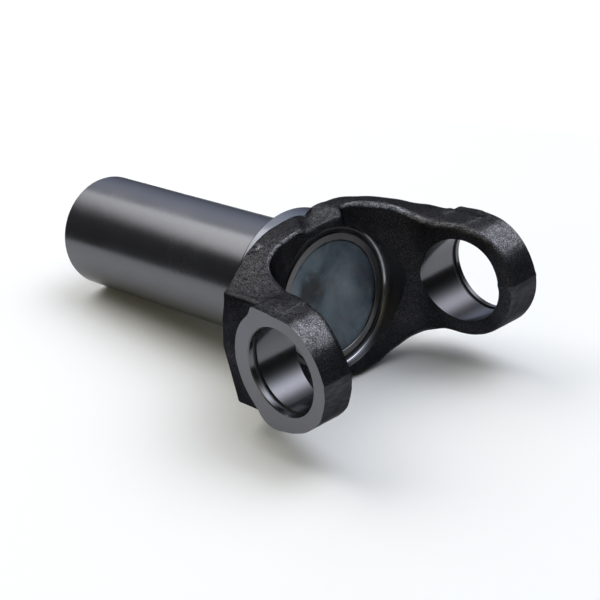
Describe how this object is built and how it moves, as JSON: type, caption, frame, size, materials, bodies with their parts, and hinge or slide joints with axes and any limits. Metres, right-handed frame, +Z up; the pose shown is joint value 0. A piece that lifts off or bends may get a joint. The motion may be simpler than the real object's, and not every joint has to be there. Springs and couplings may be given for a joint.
{
  "type": "slip yoke",
  "caption": "Driveshaft slip yoke: a ground, internally splined barrel forged in one with two bored ears for a universal joint, closed by a pressed-in expansion plug.",
  "frame": {"origin": "where the barrel axis crosses the axis of the two ear bores", "axes": "+X along the barrel axis from the barrel towards the ears, Y along the axis of the ear bores, +Z up"},
  "size_m": [0.1595, 0.0882, 0.0522],
  "materials": {
    "forged_steel": "black forged skin with ground and turned bare steel on the barrel, shoulder, bores and ear faces",
    "plated_steel": "dull blue-grey zinc plating"
  },
  "bodies": {
    "root": {"yoke": "forged_steel", "expansion_plug": "plated_steel"}
  },
  "joints": []
}
